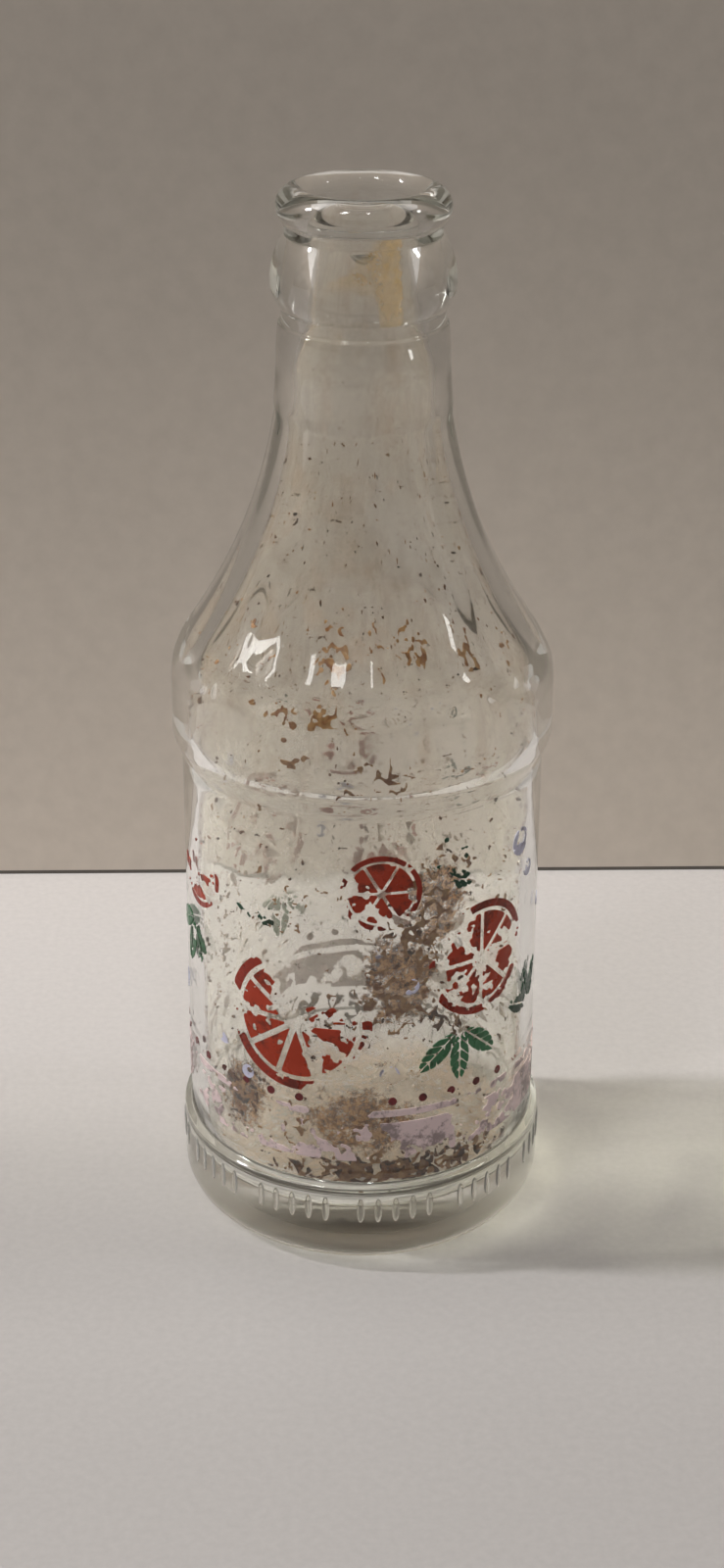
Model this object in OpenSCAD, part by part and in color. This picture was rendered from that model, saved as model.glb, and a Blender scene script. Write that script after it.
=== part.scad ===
// Returnable soft-drink bottle with a crown finish, a fluted shoulder and a fired-on print.
// Origin at the centre of the base, +Z up, front of the label towards -Y, millimetres.

/* [Body] */
// Height from the base to the crest of the lip
height = 173.3; // [170:0.1:180]
// Diameter of the shoulder belt, the widest part
belt_d = 61.4; // [60:0.1:63]
// Height of the shoulder belt's upper edge
belt_top = 95; // [92:0.5:98]
// Height of the shoulder belt's lower edge
belt_bottom = 87; // [85.5:0.5:90]
// Diameter of the recessed label panel
panel_d = 58.4; // [56.4:0.1:59.4]
// Height of the label panel's upper end
panel_top = 82; // [80:0.5:84]
// Diameter of the heel belt
heel_d = 60.9; // [60:0.1:62.4]
// Height of the ledge on top of the heel belt
heel_h = 16.8; // [14:0.1:18]
// Rise of that ledge's bevel
ledge_h = 0.7; // [0.4:0.1:1.5]
// Radius of the turn from the heel belt to the base
heel_round = 6.5; // [4:0.1:8]
// Radius of the round shoulder above the belt
shoulder_round = 15; // [12:0.5:17]

/* [Glass] */
// Thickness of the side wall
wall = 2.3; // [2:0.1:3.2]
// Thickness of the floor above the resting plane
floor_t = 9; // [7:0.1:11]
// Radius inside the corner of the floor
inner_round = 7; // [5:0.5:12]
// Outer diameter of the pushed-up dome under the base
punt_d = 42; // [34:1:44]
// Rise of that dome
punt_h = 2.6; // [1.5:0.1:3.2]

/* [Flutes] */
// Number of flat flutes round the shoulder
flute_n = 12; // [8:1:16]
// Angle from the front to the first ridge between flutes
flute_turn = 18.75; // [0:0.25:30]
// Height of the cusps where the ridges run out on the shoulder
flute_low = 101.5; // [100:0.5:103]
// Height of the cusps where the ridges run out on the neck
flute_high = 138.5; // [134:0.5:142]
// Radius of the flutes' long sweep
flute_sweep = 98; // [90:1:120]
// Radius of the scoop that ends each flute on the neck
scoop_r = 6; // [3:0.5:10]

/* [Crown finish] */
// Diameter of the crown lip
lip_d = 26.6; // [26.2:0.1:27]
// Radius of the lip's rounded outside
lip_round = 3; // [2.6:0.1:3.2]
// Diameter of the groove under the lip, where the cap's teeth lock
groove_d = 24; // [23:0.1:24.6]
// Distance from the crest down to the lower end of the groove
groove_drop = 7; // [6.4:0.1:7.6]
// Diameter of the bore
bore_d = 16.6; // [15.6:0.1:17.4]
// Length of the straight bore below the lip
bore_len = 16; // [14:0.5:18]
// Radius of the edge from the crest into the bore
mouth_round = 2; // [1:0.1:2.2]
// Diameter of the collar below the groove
collar_d = 28.4; // [27:0.1:29.4]
// Distance from the crest down to the collar's widest line
collar_drop = 14.1; // [13:0.1:15]
// Diameter of the short band below the collar
band_d = 25.1; // [24.2:0.1:26]
// Distance from the crest down to the band's upper end
band_drop = 18.3; // [17.4:0.1:19]
// Length of the band
band_len = 2; // [1.5:0.1:2.6]
// Diameter of the neck where it starts to flare
neck_d = 26.7; // [26.2:0.1:27.6]
// Distance from the crest down to the top of the flaring neck
neck_drop = 23.8; // [22.8:0.1:25]

/* [Print] */
// Thickness of the fired-on enamel
enamel_t = 0.12; // [0.08:0.01:0.2]
// Number of times that the design repeats round the label panel
repeats = 2; // [1:1:2]
// Height of the lilac band's lower edge
band_low = 21; // [20:0.5:23]
// Width of the lilac band
band_w = 7; // [4:0.5:8]
// Width of the thin lilac stripe above the band
stripe_w = 1.2; // [0.8:0.1:1.8]
// Height of the middle of the artwork above the band
art_mid = 54; // [53:0.5:55]
// Height of the artwork, which the motifs' places are shares of
art_h = 50; // [48:0.5:51]
// Radius of the large citrus slice
big_slice_r = 12.5; // [9:0.5:13]
// Radius of the middle citrus slice
mid_slice_r = 10; // [7:0.5:11]
// Radius of the small citrus slices
small_slice_r = 6.5; // [4:0.5:7]
// Length of one leaf
leaf_l = 9; // [6:0.5:10]
// Width of one leaf
leaf_w = 3.6; // [2.4:0.1:4.2]
// Radius of the largest bubbles
bubble_r = 2.4; // [1.5:0.1:2.8]

/* [Hidden] */
$fn = 96;

belt_r = belt_d / 2;
panel_r = panel_d / 2;
heel_r = heel_d / 2;
lip_r = lip_d / 2;
groove_r = groove_d / 2;
bore_r = bore_d / 2;
collar_r = collar_d / 2;
band_r = band_d / 2;
neck_r = neck_d / 2;
clear = 1;
half_angle = 180 / flute_n;

// Heights of the finish, measured down from the crest
lip_z = height - lip_round;
groove_z = height - groove_drop;
collar_z = height - collar_drop;
band_z = height - band_drop;
step_z = band_z - band_len;
neck_z = height - neck_drop;

// Point on a circle about c, at angle a in the plane of the profile
function on_arc(c, r, a) = [c[0] + r * cos(a), c[1] + r * sin(a)];

// Arc about c from angle a0 to angle a1 in n steps
function arc(c, r, a0, a1, n) = [for (i = [0:n]) on_arc(c, r, a0 + (a1 - a0) * i / n)];

// Radius of the arc that stands upright at one point and passes through another,
// dr nearer to the axis and dz away along it
function bow_r(dr, dz) = (dr * dr + dz * dz) / (2 * dr);

// Arc that is upright at the wide point w and ends at the narrow point e
function bow(w, e, n) =
    let (r = bow_r(w[0] - e[0], e[1] - w[1]), turn = asin((e[1] - w[1]) / r))
    arc([w[0] - r, w[1]], r, 0, turn, n);

// Same list of points in the other order
function back(p) = [for (i = [len(p) - 1:-1:0]) p[i]];

// Smooth S-shaped step between two upright walls, from point a to point b in n steps
function s_step(a, b, n) = [for (i = [0:n])
    [a[0] + (b[0] - a[0]) * (1 - cos(180 * i / n)) / 2, a[1] + (b[1] - a[1]) * i / n]];

// The neck's hollow flare is an arc that meets the round shoulder arc smoothly.
// sum_r is the sum of the two radii, and meet_a the slope where they meet.
function sum_r(r_out, r_in, dz) = bow_r(r_out - r_in, dz);
outer_sum = sum_r(belt_r, neck_r, neck_z - belt_top);
flare_r = outer_sum - shoulder_round;
meet_a = asin((neck_z - belt_top) / outer_sum);
flare_c = [neck_r + flare_r, neck_z];
shoulder_c = [belt_r - shoulder_round, belt_top];

// Outside radius of the round shoulder and flare at height z
function round_r(z) = z < shoulder_c[1] + shoulder_round * sin(meet_a)
    ? shoulder_c[0] + sqrt(pow(shoulder_round, 2) - pow(z - shoulder_c[1], 2))
    : flare_c[0] - sqrt(pow(flare_r, 2) - pow(flare_c[1] - z, 2));

// Outer half of the crown lip, from the groove up to the crest
lip_under = -acos((groove_r - lip_r + lip_round) / lip_round);
lip_arc = arc([lip_r - lip_round, lip_z], lip_round, lip_under, 90, 14);

// Whole outside, as if it had no flutes
outside = concat(
    [[0, 0]],
    arc([heel_r - heel_round, heel_round], heel_round, -90, 0, 10),
    [[heel_r, heel_h - ledge_h]],
    [[panel_r, heel_h]],
    s_step([panel_r, panel_top], [belt_r, belt_bottom], 6),
    arc(shoulder_c, shoulder_round, 0, meet_a, 10),
    [for (i = [1:16]) on_arc(flare_c, flare_r, 180 + meet_a * (1 - i / 16))],
    [[neck_r - 0.3, step_z - 0.3]],
    [[band_r, step_z]],
    back(bow([collar_r, collar_z], [band_r, band_z], 8)),
    bow([collar_r, collar_z], [groove_r, groove_z], 8),
    lip_arc,
    [[0, height]]);

// Inside, one wall thickness in from the outside, with the straight bore on top
inner_panel_r = panel_r - wall;
inner_belt_r = belt_r - wall;
bore_low = height - mouth_round - bore_len;
inner_neck_r = neck_r - wall - 0.4;
inner_neck_z = neck_z - 4;
inner_shoulder = shoulder_round - wall;
inner_sum = sum_r(inner_belt_r, inner_neck_r, inner_neck_z - belt_top);
inner_flare = inner_sum - inner_shoulder;
inner_meet = asin((inner_neck_z - belt_top) / inner_sum);
crest_r = lip_r - lip_round;
inside = concat(
    [[0, floor_t]],
    arc([inner_panel_r - inner_round, floor_t + inner_round], inner_round, -90, 0, 10),
    s_step([inner_panel_r, panel_top - wall], [inner_belt_r, belt_bottom + wall], 5),
    arc([inner_belt_r - inner_shoulder, belt_top], inner_shoulder, 0, inner_meet, 8),
    [for (i = [1:14]) on_arc([inner_neck_r + inner_flare, inner_neck_z], inner_flare,
                             180 + inner_meet * (1 - i / 14))],
    s_step([inner_neck_r, inner_neck_z], [bore_r, bore_low], 5),
    [[bore_r, height - mouth_round]],
    [for (i = [1:8]) [bore_r + (crest_r - bore_r) * (1 - cos(90 * i / 8)),
                      height - mouth_round * (1 - sin(90 * i / 8))]],
    [[crest_r, height + clear]],
    [[0, height + clear]]);

// Flat flutes: the corner profile of a flute_n-sided flare, wide open above and below.
// Its arc runs from the cusps on the shoulder to the cusps on the neck.
flute_a = [round_r(flute_low) * cos(half_angle), flute_low];
flute_b = [round_r(flute_high) * cos(half_angle), flute_high];
flute_chord = norm(flute_b - flute_a);
flute_lean = atan2(flute_b[1] - flute_a[1], flute_b[0] - flute_a[0]);
flute_turn_a = asin(flute_chord / 2 / flute_sweep);
flute_c = flute_a + flute_sweep * [cos(flute_lean - 90 + flute_turn_a), sin(flute_lean - 90 + flute_turn_a)];
sweep_from = 90 + flute_lean + flute_turn_a;
sweep_to = 90 + flute_lean - flute_turn_a;
scoop_end = 50;
flute_mid = concat(
    [flute_a + [2, -3]],
    arc(flute_c, flute_sweep, sweep_from, sweep_to, 12),
    [for (i = [1:5]) flute_b + scoop_r * [1 - cos(scoop_end * i / 5), sin(scoop_end * i / 5)]]);
far_r = belt_r + 10;
flute_outline = concat(
    [[0, -clear], [far_r, -clear], [far_r, flute_a[1] - 3]],
    flute_mid,
    [[far_r, flute_mid[len(flute_mid) - 1][1]], [far_r, height + clear], [0, height + clear]]);
flute_corners = [for (p = flute_outline) [p[0] / cos(half_angle), p[1]]];

// Dome under the base, as a slice of a sphere
punt_r = bow_r(punt_h, punt_d / 2);

module bottle_glass() {
    color([0.78, 0.84, 0.80, 0.5])
    difference() {
        intersection() {
            rotate_extrude() polygon(outside);
            rotate([0, 0, flute_turn - 90]) rotate_extrude($fn = flute_n) polygon(flute_corners);
        }
        rotate_extrude() polygon(inside);
        translate([0, 0, punt_h - punt_r]) sphere(r = punt_r);
    }
}

// Ring of enamel on the label panel, from height z over width w
module enamel_ring(z, w) {
    translate([0, 0, z])
    difference() {
        cylinder(r = panel_r + enamel_t, h = w);
        translate([0, 0, -clear]) cylinder(r = panel_r, h = w + 2 * clear);
    }
}

// Flat artwork of half height reach, printed on the panel at angle a and height z,
// once for each repeat of the design
module printed(a, z, reach) {
    for (k = [0:repeats - 1])
    intersection() {
        enamel_ring(z - reach, 2 * reach);
        rotate([0, 0, a + 360 * k / repeats])
        translate([0, 0, z])
        rotate([90, 0, 0])
        linear_extrude(panel_r + clear) children();
    }
}

// Segments of a citrus slice inside its rind
module slice_flesh(r, segments) {
    difference() {
        circle(r * 0.8);
        circle(r * 0.1);
        for (k = [0:segments / 2 - 1])
            rotate(180 * k / (segments / 2)) square([2 * r, r * 0.08], center = true);
    }
}

// Rind of a citrus slice
module slice_rind(r) {
    difference() {
        circle(r);
        circle(r * 0.87);
    }
}

// Pointed leaf that grows from its foot along +Y
module leaf(l, w) {
    r = (l * l + w * w) / (4 * w);
    intersection() {
        translate([r - w / 2, l / 2]) circle(r);
        translate([w / 2 - r, l / 2]) circle(r);
    }
}

// Three leaves that fan out from one foot
module leaf_fan(l, w) {
    for (a = [-48, 0, 48]) rotate(a) translate([0, l * 0.12]) leaf(l, w);
}

// Places of the motifs, each as angle from the front and share of the artwork's height
// above or below its middle, then the turn of a fan or the relative size of a bubble
big_at = [-21, -0.16];
mid_at = [41, 0.02];
small_at = [[6, 0.32], [-64, 0.24]];
green_at = [[33, -0.21, 180], [-68, 0.04, 160]];
dark_at = [[22.5, 0.36, -60], [70, -0.28, 20], [-35, 0.16, -10]];
bubbles_at = [[8, 0.09, 1], [15.5, -0.02, 0.6], [60, 0.36, 1], [66, 0.24, 0.6], [-50, -0.3, 0.8],
              [-39, -0.4, 0.5], [9, -0.34, 0.7], [-18, 0.36, 0.7], [84, 0.04, 0.9], [-84, -0.28, 0.9]];
function art_z(share) = art_mid + share * art_h;

module lilac_band() {
    color([0.72, 0.62, 0.72])
    union() {
        enamel_ring(band_low, band_w);
        enamel_ring(band_low + band_w + stripe_w, stripe_w);
    }
}

module lilac_bubbles() {
    color([0.74, 0.70, 0.78])
    for (b = bubbles_at)
        printed(b[0], art_z(b[1]), bubble_r + clear)
        difference() {
            circle(bubble_r * b[2]);
            translate([bubble_r * b[2] * 0.25, bubble_r * b[2] * 0.25]) circle(bubble_r * b[2] * 0.45);
        }
}

module red_slices() {
    color([0.72, 0.16, 0.06]) {
        printed(big_at[0], art_z(big_at[1]), big_slice_r + clear) slice_flesh(big_slice_r, 10);
        printed(mid_at[0], art_z(mid_at[1]), mid_slice_r + clear) slice_flesh(mid_slice_r, 8);
        for (s = small_at) printed(s[0], art_z(s[1]), small_slice_r + clear) slice_flesh(small_slice_r, 6);
    }
}

module red_rinds() {
    color([0.62, 0.10, 0.05]) {
        printed(big_at[0], art_z(big_at[1]), big_slice_r + clear) slice_rind(big_slice_r);
        printed(mid_at[0], art_z(mid_at[1]), mid_slice_r + clear) slice_rind(mid_slice_r);
        for (s = small_at) printed(s[0], art_z(s[1]), small_slice_r + clear) slice_rind(small_slice_r);
    }
}

// Row of small drops between the band's stripe and the artwork
pip_n = 36;
module maroon_pips() {
    color([0.36, 0.07, 0.08])
    for (k = [0:pip_n / repeats - 1])
        printed(360 * k / pip_n, band_low + band_w + 3.4 * stripe_w, stripe_w) circle(stripe_w * 0.6);
}

module green_leaves() {
    color([0.20, 0.45, 0.25])
    for (g = green_at) printed(g[0], art_z(g[1]), 2 * leaf_l) rotate(g[2]) leaf_fan(leaf_l, leaf_w);
}

module dark_leaves() {
    color([0.05, 0.20, 0.12])
    for (g = dark_at) printed(g[0], art_z(g[1]), 2 * leaf_l) rotate(g[2]) leaf_fan(leaf_l * 0.8, leaf_w * 0.9);
}

bottle_glass();
lilac_band();
lilac_bubbles();
red_slices();
red_rinds();
maroon_pips();
green_leaves();
dark_leaves();
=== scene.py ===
"""Soft-drink bottle: clear fluted glass, worn fired-on print and dried residue, on a plain stage."""
import math

import bpy
import numpy as np
from bpy.props import FloatProperty, FloatVectorProperty, IntProperty, PointerProperty
from mathutils import Matrix, Vector


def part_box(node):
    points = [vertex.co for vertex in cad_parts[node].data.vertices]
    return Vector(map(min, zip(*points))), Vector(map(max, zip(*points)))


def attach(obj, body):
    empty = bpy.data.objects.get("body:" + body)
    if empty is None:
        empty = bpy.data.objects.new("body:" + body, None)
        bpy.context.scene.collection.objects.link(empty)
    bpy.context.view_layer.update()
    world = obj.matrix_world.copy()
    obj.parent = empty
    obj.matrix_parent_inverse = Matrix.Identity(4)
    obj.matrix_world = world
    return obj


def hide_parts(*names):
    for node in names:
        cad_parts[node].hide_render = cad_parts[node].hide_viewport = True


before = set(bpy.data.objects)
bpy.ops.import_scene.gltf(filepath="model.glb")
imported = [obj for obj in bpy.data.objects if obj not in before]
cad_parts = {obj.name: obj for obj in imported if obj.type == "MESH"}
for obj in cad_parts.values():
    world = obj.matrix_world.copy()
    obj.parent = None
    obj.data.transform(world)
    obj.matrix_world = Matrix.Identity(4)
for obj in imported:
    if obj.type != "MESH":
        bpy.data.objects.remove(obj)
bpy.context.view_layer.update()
GLASS_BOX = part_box("bottle_glass")

bl_info = {
    "name": "Soft-drink bottle",
    "version": (1, 0, 0),
    "blender": (4, 5, 0),
    "location": "View3D > Sidebar > Bottle",
    "description": "Builds a worn glass soft-drink bottle round its construction model",
    "category": "Add Mesh",
}

MM = 0.001
TAU = 2 * math.pi
BODY = "root"


def colour(name, default, about):
    """A colour setting, in linear values."""
    return FloatVectorProperty(name=name, description=about, subtype="COLOR", size=3,
                               min=0, max=1, default=default)


def length(name, default_mm, about):
    """A length setting, given here in millimetres and kept in metres."""
    return FloatProperty(name=name, description=about, unit="LENGTH", default=default_mm * MM,
                         min=0, precision=5)


class BottleShape(bpy.types.PropertyGroup):
    """Sizes of the glass, the same as the construction model's"""
    height: FloatProperty(name="Height", description="Base to crest of the lip", unit="LENGTH",
                          default=GLASS_BOX[1][2] - GLASS_BOX[0][2])
    belt_r: FloatProperty(name="Belt radius", description="Radius of the shoulder belt", unit="LENGTH",
                          default=(GLASS_BOX[1][0] - GLASS_BOX[0][0]) / 2)
    belt_top: length("Belt top", 95, "Height of the shoulder belt's upper edge")
    belt_bottom: length("Belt bottom", 87, "Height of the shoulder belt's lower edge")
    panel_r: length("Panel radius", 29.2, "Radius of the recessed label panel")
    panel_top: length("Panel top", 82, "Height of the label panel's upper end")
    heel_r: length("Heel radius", 30.45, "Radius of the heel belt")
    heel_h: length("Heel height", 16.8, "Height of the ledge on top of the heel belt")
    ledge_h: length("Ledge", 0.7, "Rise of that ledge's bevel")
    heel_round: length("Heel round", 6.5, "Radius of the turn from the heel to the base")
    shoulder_round: length("Shoulder round", 15, "Radius of the shoulder above the belt")
    wall: length("Wall", 2.3, "Thickness of the side wall")
    floor_t: length("Floor", 9, "Thickness of the floor above the resting plane")
    inner_round: length("Inner round", 7, "Radius inside the corner of the floor")
    punt_r: length("Dome radius", 21, "Radius of the dome under the base")
    punt_h: length("Dome rise", 2.6, "Rise of that dome")
    flute_n: IntProperty(name="Flutes", description="Flat flutes round the shoulder", default=12, min=8,
                         max=16)
    flute_turn: FloatProperty(name="Flute turn", description="Angle from the front to the first ridge",
                              subtype="ANGLE", default=math.radians(18.75))
    flute_low: length("Flute foot", 101.5, "Height of the cusps on the shoulder")
    flute_high: length("Flute head", 138.5, "Height of the cusps on the neck")
    flute_sweep: length("Flute sweep", 98, "Radius of the flutes' long sweep")
    scoop_r: length("Scoop", 6, "Radius of the scoop that ends each flute")
    lip_r: length("Lip radius", 13.3, "Radius of the crown lip")
    lip_round: length("Lip round", 3, "Radius of the lip's rounded outside")
    groove_r: length("Groove radius", 12, "Radius of the groove under the lip")
    groove_drop: length("Groove drop", 7, "Crest to the lower end of the groove")
    bore_r: length("Bore radius", 8.3, "Radius of the bore")
    bore_len: length("Bore length", 16, "Length of the straight bore")
    mouth_round: length("Mouth round", 2, "Radius of the edge into the bore")
    collar_r: length("Collar radius", 14.2, "Radius of the collar below the groove")
    collar_drop: length("Collar drop", 14.1, "Crest to the collar's widest line")
    band_r: length("Band radius", 12.55, "Radius of the short band below the collar")
    band_drop: length("Band drop", 18.3, "Crest to the band's upper end")
    band_len: length("Band length", 2, "Length of the band")
    neck_r: length("Neck radius", 13.35, "Radius of the neck where it starts to flare")
    neck_drop: length("Neck drop", 23.8, "Crest to the top of the flaring neck")
    soft_edge: length("Soft edge", 0.55, "Radius that fire-polishing leaves on the glass's corners")
    ripple: length("Ripple", 0.09, "Unevenness of the blown inside wall")


class BottleGlass(bpy.types.PropertyGroup):
    """Finish of the glass"""
    tint: colour("Tint", (0.62, 0.61, 0.46), "Colour that thick glass takes on")
    tint_density: FloatProperty(name="Tint strength", description="How fast the glass takes colour",
                                default=7.5, min=0)
    ior: FloatProperty(name="Refraction", description="Refractive index of bottle glass", default=1.51)
    roughness: FloatProperty(name="Roughness", description="Surface haze of the handled glass",
                             subtype="FACTOR", default=0.02, min=0, max=1)
    scuff: FloatProperty(name="Scuffed base", description="Roughness of the worn base",
                         subtype="FACTOR", default=0.42, min=0, max=1)


class BottlePrint(bpy.types.PropertyGroup):
    """Colours, places and wear of the fired-on print"""
    lilac: colour("Lilac", (0.60, 0.47, 0.47), "Band and stripe at the foot of the panel")
    pale_lilac: colour("Pale lilac", (0.47, 0.46, 0.58), "Bubbles")
    red: colour("Orange-red", (0.29, 0.024, 0.004), "Flesh of the slices")
    rind: colour("Deep red", (0.22, 0.016, 0.004), "Rinds of the slices")
    maroon: colour("Maroon", (0.115, 0.012, 0.014), "Row of drops")
    green: colour("Mid green", (0.032, 0.125, 0.055), "Larger leaves")
    dark_green: colour("Dark green", (0.010, 0.045, 0.024), "Smaller leaves")
    thick: length("Thickness", 0.12, "Thickness of the enamel")
    sunk: length("Bond", 0.05, "Depth of the enamel's back below the glass surface")
    wear: FloatProperty(name="Wear", description="Share of the print that has flaked off",
                        subtype="FACTOR", default=0.52, min=0, max=1)
    seed: IntProperty(name="Wear seed", description="Changes where the print has flaked", default=11)


class BottleResidue(bpy.types.PropertyGroup):
    """Dried drink on the inside"""
    haze: colour("Haze", (0.55, 0.47, 0.36), "Thin dried film")
    cream: colour("Cream", (0.96, 0.89, 0.77), "Thicker film in the panel and on the floor")
    brown: colour("Brown crust", (0.125, 0.050, 0.017), "Flakes and rings of dried drink")
    tan: colour("Pale crust", (0.42, 0.235, 0.10), "Thin parts of the flakes")
    dark: colour("Dark crust", (0.030, 0.019, 0.013), "Crumbs where the drink stood longest")
    ochre: colour("Stain", (0.52, 0.34, 0.13), "Run in the neck")
    amount: FloatProperty(name="Haze amount", description="How much the film hides", subtype="FACTOR",
                          default=0.5, min=0, max=1)
    seed: IntProperty(name="Residue seed", description="Changes where the crust lies", default=5)


class BottleStage(bpy.types.PropertyGroup):
    """Floor, backdrop, lamps and camera"""
    wall_colour: colour("Backdrop", (0.66, 0.585, 0.51), "Colour of the backdrop")
    floor_colour: colour("Floor", (0.72, 0.68, 0.655), "Colour of the floor")
    wall_gap: length("Backdrop gap", 114, "Distance from the bottle's axis to the backdrop")
    wall_slant: FloatProperty(name="Backdrop slant", description="How much further back it is to the right",
                              default=0.0205)
    camera_back: length("Camera distance", 394, "Distance of the camera in front of the axis")
    camera_up: length("Camera height", 262.6, "Height of the camera above the floor")
    camera_tilt: FloatProperty(name="Camera tilt", description="How far the camera looks down",
                               subtype="ANGLE", default=math.radians(25.46))
    camera_roll: FloatProperty(name="Camera roll", description="Turn of the camera about its view",
                               subtype="ANGLE", default=math.radians(0.18))
    lens_mm: FloatProperty(name="Lens", description="Focal length for a 36 mm long side", default=61.1)
    key_power: FloatProperty(name="Key power", description="Watts of the soft main lamp", default=12.6)
    fill_power: FloatProperty(name="World strength", description="Strength of the soft surround",
                              default=0.28)


GROUPS = {
    "bottle_shape": BottleShape,
    "bottle_glass": BottleGlass,
    "bottle_print": BottlePrint,
    "bottle_residue": BottleResidue,
    "bottle_stage": BottleStage,
}


# Outlines, as lists of (radius, height) in metres

def arc(centre, radius, start, end, steps):
    """Points on a circle, from one angle to another in degrees."""
    return [(centre[0] + radius * math.cos(a), centre[1] + radius * math.sin(a))
            for a in np.radians(np.linspace(start, end, steps + 1))]


def bow_radius(across, along):
    """Radius of the arc that is upright at one end and moves this far across and along."""
    return (across * across + along * along) / (2 * across)


def bow(wide, narrow, steps):
    """Arc that is upright at the wide point and ends at the narrow one."""
    r = bow_radius(wide[0] - narrow[0], narrow[1] - wide[1])
    return arc((wide[0] - r, wide[1]), r, 0, math.degrees(math.asin((narrow[1] - wide[1]) / r)), steps)


def s_step(a, b, steps):
    """Smooth step between two upright walls."""
    return [(a[0] + (b[0] - a[0]) * (1 - math.cos(math.pi * t)) / 2, a[1] + (b[1] - a[1]) * t)
            for t in np.linspace(0, 1, steps + 1)]


def flare(belt, top_r, top_z, shoulder, steps_round, steps_long):
    """Round shoulder above the belt and the hollow flare that meets it smoothly, upwards."""
    total = bow_radius(belt[0] - top_r, top_z - belt[1])
    meet = math.degrees(math.asin((top_z - belt[1]) / total))
    low = arc((belt[0] - shoulder, belt[1]), shoulder, 0, meet, steps_round)
    return low + arc((top_r + total - shoulder, top_z), total - shoulder, 180 + meet, 180, steps_long)


def soften(points, radius, least_turn=14, steps=4):
    """The same outline with its sharp corners rounded."""
    out = [points[0]]
    for a, b, c in zip(points, points[1:], points[2:]):
        before, after = Vector(a) - Vector(b), Vector(c) - Vector(b)
        if before.length < 1e-7 or after.length < 1e-7:
            continue
        turn = math.pi - before.angle(after)
        if math.degrees(turn) < least_turn:
            out.append(b)
            continue
        cut = min(radius * math.tan(turn / 2), before.length * 0.45, after.length * 0.45)
        p, q = Vector(b) + before.normalized() * cut, Vector(b) + after.normalized() * cut
        for t in np.linspace(0, 1, steps + 1):
            out.append(tuple(p * (1 - t) ** 2 + Vector(b) * 2 * t * (1 - t) + q * t * t))
    out.append(points[-1])
    return out


def subdivide(points, spacing):
    """The same outline with extra points where they lie further apart than spacing."""
    out = [points[0]]
    for a, b in zip(points, points[1:]):
        parts = max(1, math.ceil(math.dist(a, b) / spacing))
        out += [(a[0] + (b[0] - a[0]) * k / parts, a[1] + (b[1] - a[1]) * k / parts)
                for k in range(1, parts + 1)]
    return out


def outside_outline(s):
    """Outside of the glass from the middle of its base up to the crest of the lip."""
    h = s.height
    crest = s.lip_r - s.lip_round
    under = -math.degrees(math.acos((s.groove_r - crest) / s.lip_round))
    dome_r = (s.punt_r ** 2 + s.punt_h ** 2) / (2 * s.punt_h)
    dome_turn = math.degrees(math.asin(s.punt_r / dome_r))
    collar = (s.collar_r, h - s.collar_drop)
    band_z, step_z, neck_z = h - s.band_drop, h - s.band_drop - s.band_len, h - s.neck_drop
    points = arc((0, s.punt_h - dome_r), dome_r, 90, 90 - dome_turn, 10)
    points += arc((s.heel_r - s.heel_round, s.heel_round), s.heel_round, -90, 0, 16)
    points += [(s.heel_r, s.heel_h - s.ledge_h), (s.panel_r, s.heel_h)]
    points += s_step((s.panel_r, s.panel_top), (s.belt_r, s.belt_bottom), 12)
    points += flare((s.belt_r, s.belt_top), s.neck_r, neck_z, s.shoulder_round, 18, 90)
    points += [(s.neck_r - 0.3 * MM, step_z - 0.3 * MM), (s.band_r, step_z)]
    points += bow(collar, (s.band_r, band_z), 12)[::-1]
    points += bow(collar, (s.groove_r, h - s.groove_drop), 12)
    points += arc((crest, h - s.lip_round), s.lip_round, under, 90, 20)
    return points


def inside_outline(s):
    """Inside of the glass from the crest of the lip down to the middle of its floor."""
    h = s.height
    crest = s.lip_r - s.lip_round
    panel = s.panel_r - s.wall
    belt = (s.belt_r - s.wall, s.belt_top)
    neck_r, neck_z = s.neck_r - s.wall - 0.4 * MM, h - s.neck_drop - 4 * MM
    bore_top = h - s.mouth_round
    points = [(0, s.floor_t)]
    points += arc((panel - s.inner_round, s.floor_t + s.inner_round), s.inner_round, -90, 0, 12)
    points += s_step((panel, s.panel_top - s.wall), (belt[0], s.belt_bottom + s.wall), 8)
    points += flare(belt, neck_r, neck_z, s.shoulder_round - s.wall, 10, 40)
    points += s_step((neck_r, neck_z), (s.bore_r, bore_top - s.bore_len), 8)
    points += [(s.bore_r + (crest - s.bore_r) * (1 - math.cos(a)), bore_top + s.mouth_round * math.sin(a))
               for a in np.linspace(0, math.pi / 2, 9)]
    return points[::-1]


def smooth_least(a, b, blend):
    """The smaller of two values, eased over blend where they are nearly equal."""
    h = np.clip(blend - np.abs(a - b), 0, None) / blend
    return np.minimum(a, b) - h * h * blend / 4


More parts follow.
